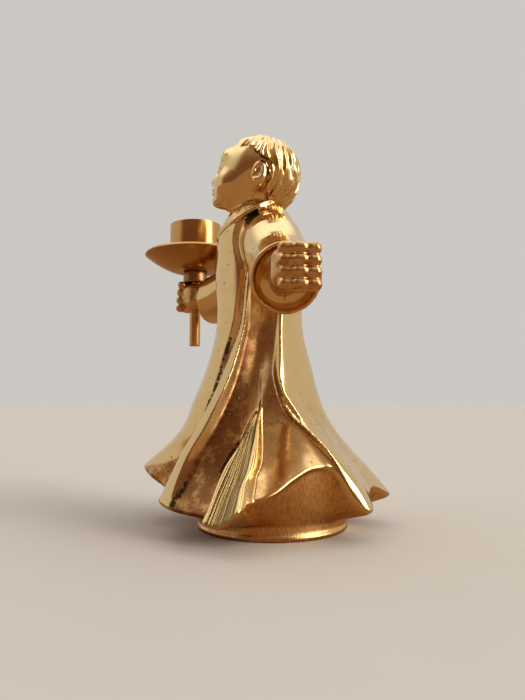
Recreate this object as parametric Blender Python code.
"""Brass candle holder: a cast child in a long flared robe holds a candle cup and drip tray on a rod.

Metres, +Z up. The origin is the centre of the round foot's underside. The child faces -Y, its left
arm reaches out to +X with a closed fist, and its right fist, at -X and in front, grips the rod.
"""
import math

import bmesh
import bpy
from mathutils import Matrix, Vector

# Clearance between two pieces that are fitted to each other.
FIT = 0.0003

# Foot: a short round plinth with a polished bead at the table.
FOOT_RADIUS = 0.0166
FOOT_HEIGHT = 0.0032
BEAD_HEIGHT = 0.0013
BEAD_PROUD = 0.0004

# Robe: a body that is round at the waist and flares to a wavy hem.
WAIST_HEIGHT = 0.046
WAIST_RADIUS = 0.0098
BODY_LEAN = 0.0030
LEAN_START = 0.006
LEAN_END = 0.030
FLARE_DROP = 0.038
FLARE_REACH = 0.019
FLARE_POWER = 1.75
SHOULDER_HEIGHT = 0.060
CHEST_RADIUS = 0.0103
DOME_POWER = 2.2
ROBE_TOP = 0.0745
APEX_ABOVE_TOP = 0.0015
HEM_LIP = 0.0010
HEM_UNDERCUT = 0.0009
HEM_BLEND = 0.20

# Folds: each crest is a line of (level, azimuth in degrees), level 0 at the hem and 1 at the top.
# Azimuth 0 is +X and 90 is +Y. After each crest comes the dip to the next one, as a line of
# (level, depth), and how flat its floor is; a negative depth bulges out.
FRONT_CREST = [(0, -107), (0.10, -85), (0.22, -65), (0.37, -55), (0.55, -34), (0.70, -26),
               (0.86, -36), (1, -30)]
FRONT_DIP = [(0, 0.0042), (0.10, 0.0042), (0.20, 0.0024), (0.37, 0.0010), (0.56, 0.0005), (0.74, 0.0004),
             (0.86, 0.0019), (1, 0.0002)]
STRAP_CREST = [(0, -68), (0.14, -62), (0.24, -53), (0.34, -47), (0.45, -40), (0.58, -26), (0.72, -18),
               (0.86, -4), (1, 0)]
STRAP_DIP = [(0, 0), (1, 0)]
NEAR_CREST = [(0, -57), (0.14, -51), (0.24, -42), (0.34, -34), (0.46, -26), (0.59, -17), (0.72, -12),
              (0.86, 4), (1, 6)]
NEAR_DIP = [(0, 0.0055), (0.10, 0.0060), (0.20, 0.0060), (0.40, 0.0042), (0.55, 0.0026), (0.70, 0.0015),
            (0.80, 0.0006), (1, 0)]
LEFT_CREST = [(0, 41), (0.05, 40.5), (0.155, 36), (0.20, 31.5), (0.262, 22.6), (0.32, 20.3),
              (0.43, 25.4), (0.556, 29.6), (1, 35)]
LEFT_DIP = [(0, 0.0024), (0.20, 0.0026), (0.40, 0.0012), (0.60, 0.0006), (1, 0)]
BACK_CREST = [(0, 98), (0.30, 92), (1, 90)]
BACK_DIP = [(0, 0.0034), (0.20, 0.0034), (0.40, 0.0012), (0.60, 0.0003), (1, 0)]
BACK_RIGHT_CREST = [(0, 142), (0.40, 131), (1, 130)]
BACK_RIGHT_DIP = [(0, 0.0034), (0.20, 0.0034), (0.40, 0.0013), (0.60, 0.0003), (1, 0)]
RIGHT_CREST = [(0, 182), (0.40, 178), (1, 175)]
RIGHT_DIP = [(0, 0.0036), (0.20, 0.0036), (0.40, 0.0015), (0.60, 0.0003), (1, 0)]
FAR_CREST = [(0, 222), (0.40, 220), (1, 225)]
FAR_DIP = [(0, -0.0008), (0.20, -0.0012), (0.40, -0.0008), (0.60, 0), (1, 0)]
FOLDS = [(FRONT_CREST, FRONT_DIP, 2.6), (STRAP_CREST, STRAP_DIP, 2), (NEAR_CREST, NEAR_DIP, 2.4),
         (LEFT_CREST, LEFT_DIP, 2), (BACK_CREST, BACK_DIP, 2), (BACK_RIGHT_CREST, BACK_RIGHT_DIP, 2),
         (RIGHT_CREST, RIGHT_DIP, 2), (FAR_CREST, FAR_DIP, 2)]

# How far the front, strap and back crests lie in from the flare, as lines of (level, depth).
FRONT_TUCK = [(0, 0), (0.20, 0.0018), (0.37, 0.0008), (0.56, 0), (1, 0)]
STRAP_TUCK = [(0, 0.0004), (0.50, 0.0007), (0.80, 0.0005), (1, 0)]
BACK_TUCK = [(0, 0), (0.06, 0.0008), (0.15, 0.0018), (0.24, 0.0012), (0.32, 0.0002), (0.44, -0.0007),
             (0.56, -0.0004), (0.70, 0), (1, 0)]
CREST_ROUNDING = 1.06

# The short fold that rises from the left panel, between its two edges, with a groove down its face.
SHORT_FOLD_LEFT = [(0, -27), (0.08, -26), (0.13, -24), (0.20, -16.5), (0.27, -8), (0.30, -1),
                   (0.60, 0), (0.86, 12), (1, 14)]
SHORT_FOLD_RIGHT = [(0, -13), (0.06, -12.5), (0.10, -9), (0.16, -6), (0.23, -3), (0.30, 2),
                    (0.60, 4), (0.86, 16), (1, 18)]
SHORT_FOLD_RISE = [(0, 0.0056), (0.14, 0.0048), (0.22, 0.0034), (0.265, 0.0016), (0.29, 0), (1, 0)]
SHORT_FOLD_FLANK_LEFT = 4.5
SHORT_FOLD_FLANK_RIGHT = 4.5
SHORT_FOLD_GROOVE = 0.0010

# Hem: a wave round the edge of the robe, as (azimuth, how far out from HEM_RADIUS, how far up from
# HEM_HEIGHT).
HEM_RADIUS = 0.0270
HEM_HEIGHT = 0.0090
HEM = [(-138, 0.0025, 0.0000), (-122, 0.0042, 0.0040), (-108, 0.0052, 0.0036), (-96, 0.0015, 0.0018),
       (-88, -0.0020, 0.0003), (-78, -0.0030, -0.0010), (-68, -0.0008, -0.0018),
       (-57, -0.0008, -0.0024), (-47, -0.0020, -0.0027), (-36, -0.0026, -0.0030),
       (-27, -0.0024, -0.0032), (-21, -0.0022, -0.0036), (-14, -0.0022, -0.0012),
       (-9, -0.0024, 0.0003), (-5, -0.0028, 0.0007), (2, -0.0042, 0.0018), (12, -0.0062, 0.0038),
       (24, -0.0072, 0.0055), (33, -0.0070, 0.0058), (38.5, -0.0060, 0.0053), (40.5, -0.0049, 0.0032),
       (43.5, -0.0036, -0.0006), (51, -0.0015, -0.0030), (66, -0.0042, -0.0010), (80, -0.0038, 0.0002),
       (98, 0.0010, -0.0026), (118, -0.0020, 0.0005), (142, 0.0010, -0.0020), (162, -0.0015, 0.0015),
       (182, 0.0020, -0.0015), (203, -0.0008, 0.0020)]

# Neckline: a thin rolled band laid on the robe, where a plane that drops towards the chest meets it.
NECKLINE_DROP = 0.0023
NECKLINE_TILT = 32.0
NECKLINE_BAND = 0.0007
NECKLINE_SINK = 0.0002

# Sleeves: (centre, radius) from the shoulder to the cuff; the cuff is a hollow bell.
LEFT_REACH = 0.0250
LEFT_CUFF_HEIGHT = 0.0517
LEFT_CUFF = Vector((LEFT_REACH, 0.0024, LEFT_CUFF_HEIGHT))
LEFT_SLEEVE = [(Vector((0.0020, -0.0010, 0.0655)), 0.0066), (Vector((0.0100, 0.0000, 0.0623)), 0.0068),
               (Vector((0.0175, 0.0012, 0.0563)), 0.0066), (LEFT_CUFF, 0.0071)]
LEFT_CUFF_FACING = Vector((0.93, 0.13, -0.34))
RIGHT_REACH = 0.0212
RIGHT_FORWARD = 0.0154
RIGHT_CUFF_HEIGHT = 0.0555
RIGHT_CUFF = Vector((-RIGHT_REACH, -RIGHT_FORWARD, RIGHT_CUFF_HEIGHT))
RIGHT_SLEEVE = [(Vector((-0.0030, -0.0025, 0.0640)), 0.0062), (Vector((-0.0100, -0.0055, 0.0608)), 0.0060),
                (Vector((-0.0165, -0.0102, 0.0575)), 0.0061), (RIGHT_CUFF, 0.0064)]
RIGHT_CUFF_FACING = Vector((-0.66, -0.73, 0.12))
CUFF_WALL = 0.0011
CUFF_DEPTH = 0.0021
CUFF_ROUND = 0.0005

# Fists: rounded blocks with four finger rows across the front.
LEFT_FIST_LENGTH = 0.0086
RIGHT_FIST_LENGTH = 0.0074
FIST_WIDTH = 0.0088
FIST_HEIGHT = 0.0086
FIST_SQUARENESS = 3.2
FINGER_GROOVE = 0.0007
WRIST_RADIUS = 0.0031
LEFT_FIST_CENTRE = LEFT_CUFF + Vector((0.0072, 0.0011, 0.0001))
LEFT_FIST_FACING = Vector((1, 0.1, 0.02))
RIGHT_FIST_FORWARD = 0.0078
RIGHT_FIST_RISE = 0.0015
SPOT_FACE = 0.0003

# Head, turned towards the candle.
HEAD_RISE = 0.0072
HEAD_FORWARD = 0.0038
HEAD_CENTRE = Vector((0, -HEAD_FORWARD, ROBE_TOP + HEAD_RISE))
HEAD_WIDTH = 0.0180
HEAD_DEPTH = 0.0204
HEAD_HEIGHT = 0.0190
HEAD_FULLNESS = 2.35
HEAD_TURN = 4.0
HEAD_TILT = 8.0
HAIR_THICKNESS = 0.0009
HAIR_STRANDS = 18
STRAND_DEPTH = 0.0004
NECK_RADIUS = 0.0052
NECK_SINK = 0.0055

# Face: soft swellings and a hollow, each (forward, sideways, up, spread, height) from the head's centre.
NOSE = (1, 0, -0.30, 0.09, 0.0007)
CHIN = (0.80, 0, -0.66, 0.13, 0.0010)
CHEEK = (0.80, 0.34, -0.40, 0.18, 0.0006)
EYE_HOLLOW = (0.93, 0.27, -0.02, 0.10, -0.0006)
LIPS = (0.93, 0, -0.42, 0.07, 0.0005)
NAPE_HOLLOW = 0.0012

# Candle fittings on the rod in the right fist.
STEM_RADIUS = 0.0015
STEM_BOTTOM = 0.0434
COLLAR_RADIUS = 0.00335
COLLAR_HEIGHT = 0.0026
TRAY_RADIUS = 0.0141
TRAY_DEPTH = 0.0054
TRAY_WALL = 0.0008
TRAY_FLAT = 0.0050
CUP_BORE_RADIUS = 0.0064
CUP_WALL = 0.0008
CUP_HEIGHT = 0.0124
CUP_FLOOR = 0.0012
RIVET_RADIUS = 0.0026
RIVET_HEIGHT = 0.0009

# Mesh density.
ROBE_COLUMNS = {"wide": 7, "narrow": 3}
ROBE_ROWS = 16
ROUND_SIDES = 48
SMALL_SIDES = 24
SLEEVE_SIDES = 24
FIST_SIDES = 20
FIST_RINGS = 18
HEAD_SIDES = 54
HEAD_RINGS = 20
BAND_SIDES = 36


def mix(a, b, share):
    return a + (b - a) * share


def ease(x):
    x = min(max(x, 0.0), 1.0)
    return x * x * (3 - 2 * x)


def along(knots, x):
    """The value at x of a smooth line through (x, value) knots, with no overshoot."""
    if x <= knots[0][0]:
        return knots[0][1]
    for (x0, v0), (x1, v1) in zip(knots, knots[1:]):
        if x <= x1:
            return v0 + (v1 - v0) * (0.5 * (x - x0) / (x1 - x0) + 0.5 * ease((x - x0) / (x1 - x0)))
    return knots[-1][1]


def around(knots, azimuth, column):
    """The value at an azimuth of the closed smooth curve through the hem's knots."""
    turn = (azimuth - knots[0][0]) % 360 + knots[0][0]
    ring = [(k[0] - 360, k[column]) for k in knots[-2:]] + [(k[0], k[column]) for k in knots]
    ring += [(k[0] + 360, k[column]) for k in knots[:2]]
    for i in range(1, len(ring) - 2):
        (a0, v0), (a1, v1), (a2, v2), (a3, v3) = ring[i - 1:i + 3]
        if a1 <= turn <= a2:
            span = a2 - a1
            slope1 = (v2 - v0) / (a2 - a0) * span
            slope2 = (v3 - v1) / (a3 - a1) * span
            t = (turn - a1) / span
            return (v1 * (2 * t**3 - 3 * t**2 + 1) + slope1 * (t**3 - 2 * t**2 + t)
                    + v2 * (3 * t**2 - 2 * t**3) + slope2 * (t**3 - t**2))
    return knots[0][column]


def body_axis(height):
    """How far the body's axis has leaned forward at a height."""
    return -BODY_LEAN * ease((height - LEAN_START) / (LEAN_END - LEAN_START))


def body_radius(height):
    """The body's radius over its crests: flared below the waist, domed over the shoulders."""
    if height < WAIST_HEIGHT:
        return WAIST_RADIUS + FLARE_REACH * ((WAIST_HEIGHT - height) / FLARE_DROP) ** FLARE_POWER
    if height < SHOULDER_HEIGHT:
        above_waist = (height - WAIST_HEIGHT) / (SHOULDER_HEIGHT - WAIST_HEIGHT)
        return mix(WAIST_RADIUS, CHEST_RADIUS, ease(above_waist))
    rise = min((height - SHOULDER_HEIGHT) / (ROBE_TOP + APEX_ABOVE_TOP - SHOULDER_HEIGHT), 0.99)
    return CHEST_RADIUS * (1 - rise ** DOME_POWER) ** (1 / DOME_POWER)


def depth_level(height, level):
    """The level that fold depths go by: the column's own at the hem, the height alone above it."""
    return mix(level, max(height - HEM_HEIGHT, 0) / (ROBE_TOP - HEM_HEIGHT), ease(level / HEM_BLEND))


def fold_relief(azimuth, level, depth):
    """How far the surface lies in from the crests: the crests go by level, the dips by depth."""
    lines = [along(crest, level) for crest, dip, flatness in FOLDS]
    lines.append(lines[0] + 360)
    turn = (azimuth - lines[0]) % 360 + lines[0]
    for i, (crest, dip, flatness) in enumerate(FOLDS):
        if turn <= lines[i + 1] + 1e-9:
            break
    across = 2 * (turn - lines[i]) / (lines[i + 1] - lines[i]) - 1
    relief = along(dip, depth) * max(1 - abs(across) ** flatness, 0) ** CREST_ROUNDING
    for tucked, tuck in ((FRONT_CREST, FRONT_TUCK), (STRAP_CREST, STRAP_TUCK), (BACK_CREST, BACK_TUCK)):
        if crest is tucked:
            relief += along(tuck, depth) * max((1 - across) / 2, 0)
        if FOLDS[(i + 1) % len(FOLDS)][0] is tucked:
            relief += along(tuck, depth) * max((1 + across) / 2, 0) ** 2
    return relief


def short_fold(azimuth, level):
    """The rise of the short fold, with the groove down its face."""
    left, right = along(SHORT_FOLD_LEFT, level), along(SHORT_FOLD_RIGHT, level)
    rise = along(SHORT_FOLD_RISE, level)
    azimuth = azimuth if azimuth < 180 else azimuth - 360
    if azimuth < left:
        return rise * ease(1 - (left - azimuth) / SHORT_FOLD_FLANK_LEFT)
    if azimuth > right:
        return rise * ease(1 - (azimuth - right) / SHORT_FOLD_FLANK_RIGHT)
    across = 2 * (azimuth - left) / (right - left) - 1
    groove = SHORT_FOLD_GROOVE * (1 - abs(across)) * ease(rise / SHORT_FOLD_RISE[0][1])
    return rise - groove


def robe_radius(azimuth, height, level, hem_radius, hem_height):
    body = body_radius(height) - fold_relief(azimuth, level, depth_level(height, level))
    at_hem = body_radius(hem_height) - fold_relief(azimuth, 0, 0)
    return body + (hem_radius - at_hem) * max(1 - level / HEM_BLEND, 0) ** 2 + short_fold(azimuth, level)


def column_lines():
    """Crest lines in order round the body, each with the number of mesh columns up to the next."""
    crests = [crest for crest, dip, flatness in FOLDS]
    crests[3:3] = [SHORT_FOLD_LEFT, SHORT_FOLD_RIGHT]
    counts = []
    for i, crest in enumerate(crests):
        following = crests[(i + 1) % len(crests)][0][1] + (360 if i == len(crests) - 1 else 0)
        counts.append(ROBE_COLUMNS["narrow" if following - crest[0][1] < 20 else "wide"])
    return list(zip(crests, counts))


def ring_point(azimuth, radius, height):
    angle = math.radians(azimuth)
    return Vector((radius * math.cos(angle), radius * math.sin(angle) + body_axis(height), height))


def loft(rings, name):
    """A closed body from rings of equal count, the first and last closed by flat caps."""
    mesh = bmesh.new()
    rows = [[mesh.verts.new(point) for point in ring] for ring in rings]
    count = len(rows[0])
    for low, high in zip(rows, rows[1:]):
        for i in range(count):
            j = (i + 1) % count
            mesh.faces.new((low[i], low[j], high[j], high[i]))
    for row in (rows[0], rows[-1]):
        mesh.faces.new(row)
    bmesh.ops.triangulate(mesh, faces=mesh.faces[:])
    bmesh.ops.recalc_face_normals(mesh, faces=mesh.faces[:])
    data = bpy.data.meshes.new(name)
    mesh.to_mesh(data)
    mesh.free()
    data.shade_smooth()
    data.set_sharp_from_angle(angle=math.radians(50))
    piece = bpy.data.objects.new(name, data)
    bpy.context.scene.collection.objects.link(piece)
    return piece


def turned(name, profile, sides=ROUND_SIDES):
    """A closed body turned about Z from a profile of (radius, height); radius 0 closes an end."""
    mesh = bmesh.new()
    rows = []
    for radius, height in profile:
        if radius == 0:
            rows.append([mesh.verts.new((0, 0, height))])
            continue
        angles = [2 * math.pi * i / sides for i in range(sides)]
        rows.append([mesh.verts.new((radius * math.cos(a), radius * math.sin(a), height)) for a in angles])
    closed = profile[0][0] > 0 and profile[-1][0] > 0
    pairs = list(zip(rows, rows[1:])) + ([(rows[-1], rows[0])] if closed else [])
    for low, high in pairs:
        for i in range(sides):
            j = (i + 1) % sides
            corners = [low[i % len(low)], low[j % len(low)], high[j % len(high)], high[i % len(high)]]
            mesh.faces.new(list(dict.fromkeys(corners)))
    bmesh.ops.recalc_face_normals(mesh, faces=mesh.faces[:])
    data = bpy.data.meshes.new(name)
    mesh.to_mesh(data)
    mesh.free()
    data.shade_smooth()
    data.set_sharp_from_angle(angle=math.radians(35))
    piece = bpy.data.objects.new(name, data)
    bpy.context.scene.collection.objects.link(piece)
    return piece


def make_robe():
    columns = []
    lines = column_lines()
    for i, (crest, count) in enumerate(lines):
        following = lines[(i + 1) % len(lines)][0]
        lap = 360 if i == len(lines) - 1 else 0
        columns += [(crest, following, lap, step / count) for step in range(count)]

    def azimuth(column, level):
        crest, following, lap, share = column
        return mix(along(crest, level), along(following, level) + lap, share)

    hem = []
    for column in columns:
        angle = azimuth(column, 0)
        hem.append((angle, HEM_RADIUS + around(HEM, angle, 1), HEM_HEIGHT + around(HEM, angle, 2),
                    short_fold(angle, 0)))
    bead = FOOT_RADIUS + BEAD_PROUD
    foot = [(bead - BEAD_PROUD, 0), (bead, BEAD_HEIGHT * 0.3), (bead, BEAD_HEIGHT * 0.7),
            (FOOT_RADIUS, BEAD_HEIGHT), (FOOT_RADIUS, FOOT_HEIGHT)]
    rings = [[ring_point(a, radius, height) for a, r, z, fold in hem] for radius, height in foot]
    for share in (0.35, 0.7, 1.0):
        rings.append([ring_point(a, mix(FOOT_RADIUS, r + fold - HEM_UNDERCUT, share),
                                 mix(FOOT_HEIGHT, z - HEM_LIP * 0.6, share)) for a, r, z, fold in hem])
    rings.append([ring_point(a, r + fold, z - HEM_LIP * 0.7) for a, r, z, fold in hem])
    for row in range(ROBE_ROWS + 1):
        level = (row / ROBE_ROWS) ** 1.25
        ring = []
        for column, (a, r, z, fold) in zip(columns, hem):
            height = mix(z, ROBE_TOP, level)
            angle = azimuth(column, level)
            ring.append(ring_point(angle, robe_radius(angle, height, level, r, z), height))
        rings.append(ring)
    return loft(rings, "robe_form")


def facing_frame(direction):
    """Axes of a ring that looks along a direction: across, then up."""
    across = Vector((0, 0, 1)).cross(direction).normalized()
    return across, direction.cross(across).normalized()


def make_sleeve(name, path, facing):
    """A sleeve from the shoulder to a hollow bell cuff."""
    facing = facing.normalized()
    rings = []

    def ring(centre, direction, radius):
        across, up = facing_frame(direction)
        turns = [2 * math.pi * i / SLEEVE_SIDES for i in range(SLEEVE_SIDES)]
        rings.append([centre + radius * (math.cos(t) * across + math.sin(t) * up) for t in turns])

    steps = 6
    points, radii = [p for p, r in path], [r for p, r in path]
    start = points[1] - points[0]
    for step in range(steps + 1):
        t = step / steps
        spot, weights = t * (len(points) - 1), []
        i = min(int(spot), len(points) - 2)
        share = spot - i
        before, after = points[max(i - 1, 0)], points[min(i + 2, len(points) - 1)]
        slope1, slope2 = (points[i + 1] - before) / 2, (after - points[i]) / 2
        centre = (points[i] * (2 * share**3 - 3 * share**2 + 1)
                  + slope1 * (share**3 - 2 * share**2 + share)
                  + points[i + 1] * (3 * share**2 - 2 * share**3) + slope2 * (share**3 - share**2))
        direction = start.normalized().lerp(facing, ease(t)).normalized()
        ring(centre, direction, mix(radii[i], radii[i + 1], share))
    cuff, radius = points[-1], radii[-1]
    ring(cuff + facing * CUFF_ROUND, facing, radius - CUFF_ROUND * 0.4)
    ring(cuff + facing * CUFF_ROUND, facing, radius - CUFF_WALL)
    ring(cuff - facing * CUFF_DEPTH, facing, radius - CUFF_WALL * 1.5)
    return loft(rings, name)


def make_fist(name, centre, facing, cuff, length):
    """A closed fist on its wrist, which comes out of the cuff: four fingers are stacked across it."""
    facing = facing.normalized()
    across, up = facing_frame(facing)

    def spread(value):
        return math.copysign(abs(value) ** (2 / FIST_SQUARENESS), value)

    rows = []
    for ring in range(1, FIST_RINGS):
        tilt = math.pi * ring / FIST_RINGS
        z = FIST_HEIGHT / 2 * spread(math.cos(tilt))
        between = 1 - abs(math.sin(4 * math.pi * (z / FIST_HEIGHT + 0.5))) ** 0.7
        row = []
        for side in range(FIST_SIDES):
            turn = 2 * math.pi * side / FIST_SIDES
            x = length / 2 * spread(math.sin(tilt)) * spread(math.cos(turn))
            y = FIST_WIDTH / 2 * spread(math.sin(tilt)) * spread(math.sin(turn))
            front = ease((x / length + 0.10) * 3)
            shrink = 1 - FINGER_GROOVE / (FIST_WIDTH / 2) * front * between
            row.append(centre + facing * x * shrink + across * y * shrink + up * z)
        rows.append(row)
    fist = loft(rows, name)
    inner = cuff - (centre - cuff).normalized() * (CUFF_DEPTH + CUFF_WALL)
    wrist_rows = []
    for spot in (inner, centre):
        turns = [2 * math.pi * i / SMALL_SIDES for i in range(SMALL_SIDES)]
        wrist_rows.append([spot + WRIST_RADIUS * (math.cos(t) * across + math.sin(t) * up) for t in turns])
    wrist = loft(wrist_rows, name + "_wrist")
    return fist, wrist


def head_radius(polar, turn):
    """The head's surface in a direction: polar from the crown, turn from straight ahead."""
    front, side, high = math.sin(polar) * math.cos(turn), math.sin(polar) * math.sin(turn), math.cos(polar)
    power = mix(2, HEAD_FULLNESS, ease(0.5 - high))
    radius = (abs(front / (HEAD_DEPTH / 2)) ** power + abs(side / (HEAD_WIDTH / 2)) ** power
              + abs(high / (HEAD_HEIGHT / 2)) ** power) ** (-1 / power)

    face = 0
    for forward, sideways, up, spread, height in (NOSE, CHIN, CHEEK, EYE_HOLLOW, LIPS):
        apart = (front - forward) ** 2 + (abs(side) - sideways) ** 2 + (high - up) ** 2
        face += height * math.exp(-apart / (2 * spread * spread))
    under = ease((-high - 0.55) / 0.35) * ease((0.55 - front) / 0.5)
    hairline = ease((0.52 + 0.55 * max(high, -0.6) - front * 0.9 + 0.30 * ease(-high * 2)) / 0.14)
    strands = 0.5 + 0.5 * math.cos(HAIR_STRANDS * turn + 5 * math.sin(1.5 * polar))
    hair = (HAIR_THICKNESS - STRAND_DEPTH * strands * ease(math.sin(polar) * 1.6)) * (1 - under)
    return radius + mix(face, hair, hairline) - NAPE_HOLLOW * under


def make_head():
    turning = (Matrix.Rotation(math.radians(-90 - HEAD_TURN), 3, "Z")
               @ Matrix.Rotation(math.radians(-HEAD_TILT), 3, "Y"))
    rows = []
    for ring in range(1, HEAD_RINGS):
        polar = math.pi * ring / HEAD_RINGS
        row = []
        for side in range(HEAD_SIDES):
            turn = 2 * math.pi * side / HEAD_SIDES
            radius = head_radius(polar, turn)
            direction = Vector((math.cos(turn), math.sin(turn), 0)) * math.sin(polar)
            direction.z = math.cos(polar)
            row.append(HEAD_CENTRE + turning @ direction * radius)
        rows.append(row)
    return loft(rows, "head_form")


def make_neck():
    """The neck, from inside the shoulders up into the head."""
    root, top = ROBE_TOP - NECK_SINK, HEAD_CENTRE.z - HEAD_HEIGHT * 0.22
    neck = turned("neck_form", [(0, root), (NECK_RADIUS * 1.1, root), (NECK_RADIUS, mix(root, top, 0.5)),
                                (NECK_RADIUS, top), (0, top)], 32)
    neck.location = (0, HEAD_CENTRE.y, 0)
    return neck


def neckline_point(azimuth):
    """The robe's point at an azimuth on the neckline's tilted plane, the way out of it and up it."""
    slope = math.tan(math.radians(NECKLINE_TILT))
    low, high = SHOULDER_HEIGHT, ROBE_TOP
    for _ in range(30):
        height = (low + high) / 2
        spot = ring_point(azimuth, body_radius(height) - NECKLINE_SINK, height)
        plane = ROBE_TOP - NECKLINE_DROP + (spot.y - body_axis(height)) * slope
        low, high = (height, high) if height < plane else (low, height)
    lower = height - NECKLINE_BAND
    rising = (spot - ring_point(azimuth, body_radius(lower), lower)).normalized()
    sideways = Matrix.Rotation(math.radians(azimuth + 90), 3, "Z") @ Vector((1, 0, 0))
    return spot, sideways.cross(rising).normalized(), rising


def make_neckline():
    mesh = bmesh.new()
    rings = []
    for i in range(BAND_SIDES):
        spot, out, up = neckline_point(360 * i / BAND_SIDES)
        turns = [2 * math.pi * j / 6 for j in range(6)]
        ring = [spot + NECKLINE_BAND * (math.cos(t) * out + math.sin(t) * up) for t in turns]
        rings.append([mesh.verts.new(point) for point in ring])
    for ring, following in zip(rings, rings[1:] + rings[:1]):
        for i in range(6):
            j = (i + 1) % 6
            mesh.faces.new((ring[i], ring[j], following[j], following[i]))
    bmesh.ops.recalc_face_normals(mesh, faces=mesh.faces[:])
    data = bpy.data.meshes.new("neckline_form")
    mesh.to_mesh(data)
    mesh.free()
    band = bpy.data.objects.new("neckline_form", data)
    bpy.context.scene.collection.objects.link(band)
    return band


def combine(target, tool, operation):
    """Join or cut with a Boolean, and keep the tool as a hidden guide."""
    change = target.modifiers.new(tool.name, "BOOLEAN")
    change.operation = operation
    change.solver = "EXACT"
    change.object = tool
    tool.hide_render = True
    tool.display_type = "WIRE"


def brass(name, colour, roughness):
    material = bpy.data.materials.new(name)
    material.use_nodes = True
    shader = material.node_tree.nodes["Principled BSDF"]
    shader.inputs["Base Color"].default_value = (*colour, 1)
    shader.inputs["Metallic"].default_value = 1.0
    shader.inputs["Roughness"].default_value = roughness
    material.diffuse_color = (*colour, 1)
    return material


def make_figure(stem_spot):
    figure = make_robe()
    figure.name = "figure"
    right_fist_centre = Vector((stem_spot.x, stem_spot.y, right_fist_height()))
    forms = [make_sleeve("left_sleeve_form", LEFT_SLEEVE, LEFT_CUFF_FACING),
             make_sleeve("right_sleeve_form", RIGHT_SLEEVE, RIGHT_CUFF_FACING),
             *make_fist("left_fist_form", LEFT_FIST_CENTRE, LEFT_FIST_FACING, LEFT_CUFF,
                        LEFT_FIST_LENGTH),
             *make_fist("right_fist_form", right_fist_centre, RIGHT_CUFF_FACING, RIGHT_CUFF,
                        RIGHT_FIST_LENGTH),
             make_neck(), make_neckline(), make_head()]
    for form in forms:
        combine(figure, form, "UNION")
    bore = turned("stem_bore", [(0, STEM_BOTTOM), (STEM_RADIUS + FIT, STEM_BOTTOM),
                                (STEM_RADIUS + FIT, collar_base()), (0, collar_base())], 32)
    bore.location = (stem_spot.x, stem_spot.y, 0)
    combine(figure, bore, "DIFFERENCE")
    seat = turned("collar_seat", [(0, collar_base() - FIT), (COLLAR_RADIUS * 1.5, collar_base() - FIT),
                                  (COLLAR_RADIUS * 1.5, collar_base() + TRAY_DEPTH),
                                  (0, collar_base() + TRAY_DEPTH)], 32)
    seat.location = (stem_spot.x, stem_spot.y, 0)
    combine(figure, seat, "DIFFERENCE")
    figure.data.materials.append(brass("cast_brass", (0.75, 0.52, 0.22), 0.12))
    return figure


def right_fist_height():
    return RIGHT_CUFF_HEIGHT + RIGHT_FIST_RISE


def collar_base():
    """The height of the collar's underside: the top of the right fist, spot-faced."""
    return right_fist_height() + FIST_HEIGHT / 2 - SPOT_FACE + FIT


def tray_base():
    return collar_base() + COLLAR_HEIGHT + FIT


def cup_base():
    return tray_base() + TRAY_WALL + FIT


def make_fittings(stem_spot):
    hole = STEM_RADIUS + FIT
    collar = turned("collar", [(hole, collar_base()), (COLLAR_RADIUS, collar_base()),
                               (COLLAR_RADIUS, tray_base() - FIT), (hole, tray_base() - FIT)], 32)
    under = [(hole, tray_base())]
    inside = [(hole, tray_base() + TRAY_WALL)]
    for step in range(6):
        share = step / 5
        radius = mix(TRAY_FLAT, TRAY_RADIUS - TRAY_WALL / 2, share)
        height = tray_base() + (TRAY_DEPTH - TRAY_WALL) * share ** 1.5
        under.append((radius + TRAY_WALL / 2 * share, height))
        inside.append((radius - TRAY_WALL / 2 * share, height + TRAY_WALL))
    tray = turned("drip_tray", under + inside[::-1])
    cup_radius = CUP_BORE_RADIUS + CUP_WALL
    cup_top = cup_base() + CUP_HEIGHT
    wall_base = cup_base() + TRAY_WALL * 1.5
    cup = turned("candle_cup", [(hole, cup_base()), (TRAY_FLAT, cup_base()), (cup_radius, wall_base),
                                (cup_radius, cup_top), (CUP_BORE_RADIUS, cup_top),
                                (CUP_BORE_RADIUS, wall_base + CUP_FLOOR / 2),
                                (TRAY_FLAT, cup_base() + CUP_FLOOR), (hole, cup_base() + CUP_FLOOR)])
    head_base = cup_base() + CUP_FLOOR + FIT
    stem = turned("stem", [(0, STEM_BOTTOM), (STEM_RADIUS * 0.8, STEM_BOTTOM),
                           (STEM_RADIUS, STEM_BOTTOM + STEM_RADIUS * 0.2),
                           (STEM_RADIUS, head_base), (RIVET_RADIUS, head_base),
                           (RIVET_RADIUS, head_base + RIVET_HEIGHT * 0.6),
                           (RIVET_RADIUS * 0.75, head_base + RIVET_HEIGHT),
                           (0, head_base + RIVET_HEIGHT)], SMALL_SIDES)
    for piece, colour in ((collar, (0.60, 0.38, 0.15)), (tray, (0.68, 0.45, 0.19)),
                          (cup, (0.75, 0.52, 0.22)), (stem, (0.66, 0.44, 0.18))):
        piece.location = (stem_spot.x, stem_spot.y, 0)
        piece.data.materials.append(brass(piece.name + "_brass", colour, 0.15))


def main():
    for old in list(bpy.data.objects):
        bpy.data.objects.remove(old, do_unlink=True)
    facing = RIGHT_CUFF_FACING.normalized()
    stem_spot = RIGHT_CUFF + Vector((facing.x, facing.y, 0)) * RIGHT_FIST_FORWARD
    make_figure(stem_spot)
    make_fittings(stem_spot)


main()
